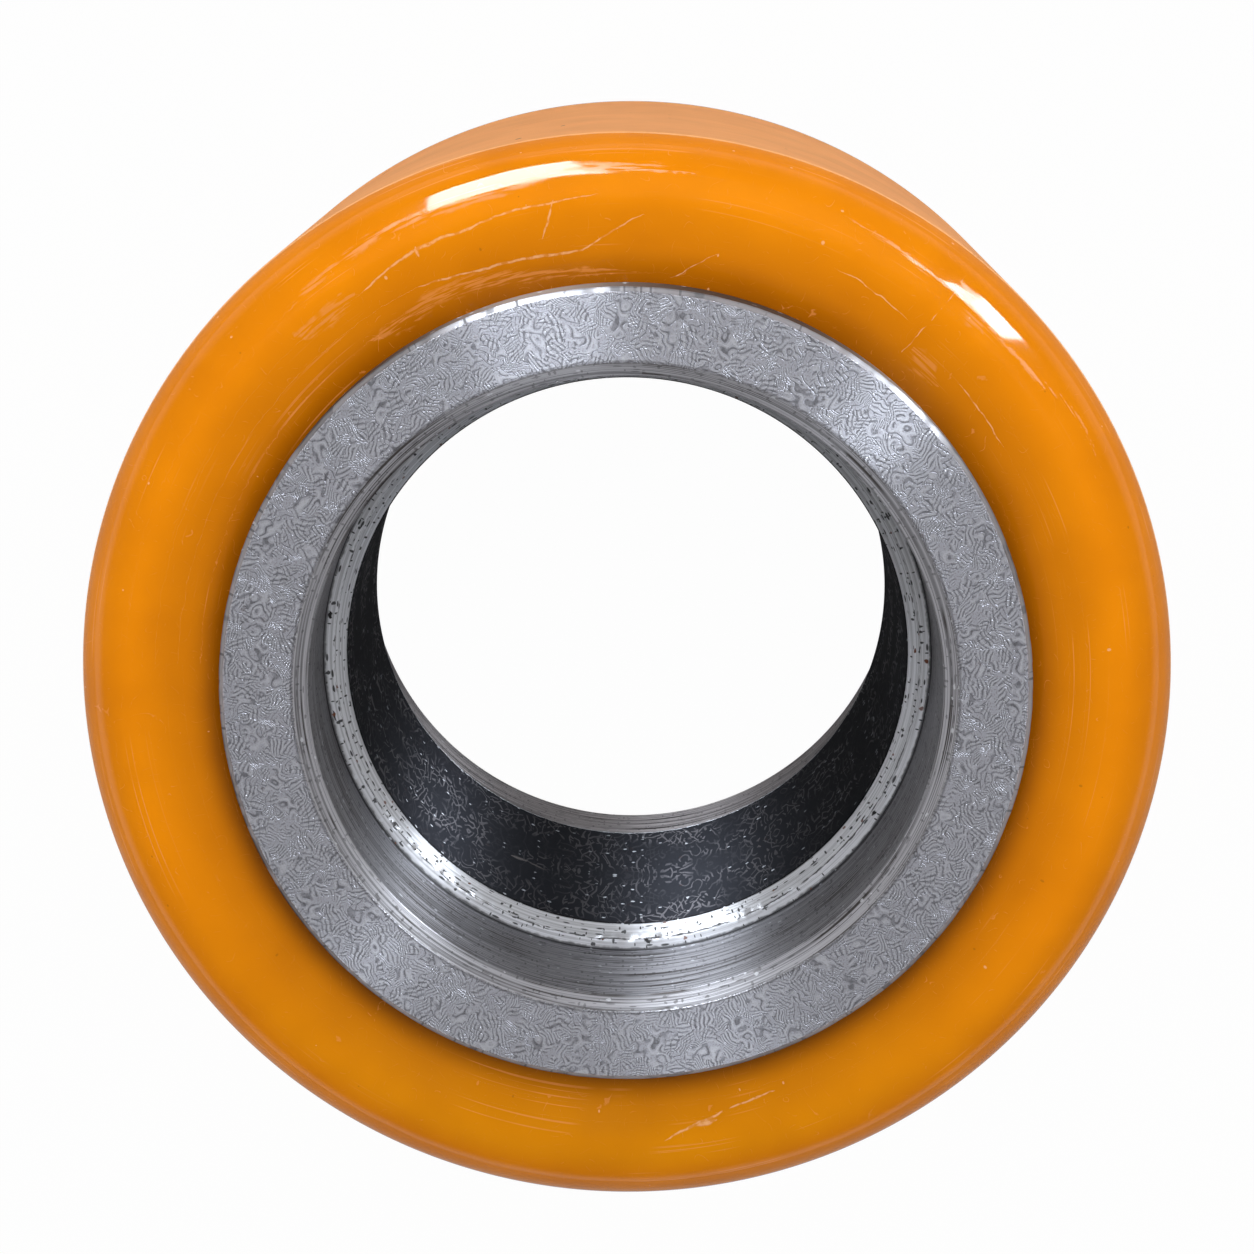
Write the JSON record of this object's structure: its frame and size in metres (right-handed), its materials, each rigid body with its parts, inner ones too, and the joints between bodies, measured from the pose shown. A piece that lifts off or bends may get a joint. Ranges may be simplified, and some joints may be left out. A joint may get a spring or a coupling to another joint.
{
  "type": "polyurethane roller",
  "caption": "Load roller: a turned steel hub with a stepped bearing seat at each end and a thick polyurethane tyre cast round it.",
  "frame": {"origin": "centre of the hub's lower end face, on the roller's axis", "axes": "+Z along the roller's axis, up out of the upper bearing seat; X and Y across, with nothing to tell them apart"},
  "size_m": [0.125, 0.125, 0.08],
  "materials": {
    "steel": "turned and scuffed",
    "polyurethane": "glossy cast sides, matte ground tread"
  },
  "bodies": {
    "root": {"steel_hub": "steel", "polyurethane_tyre": "polyurethane"}
  },
  "joints": []
}
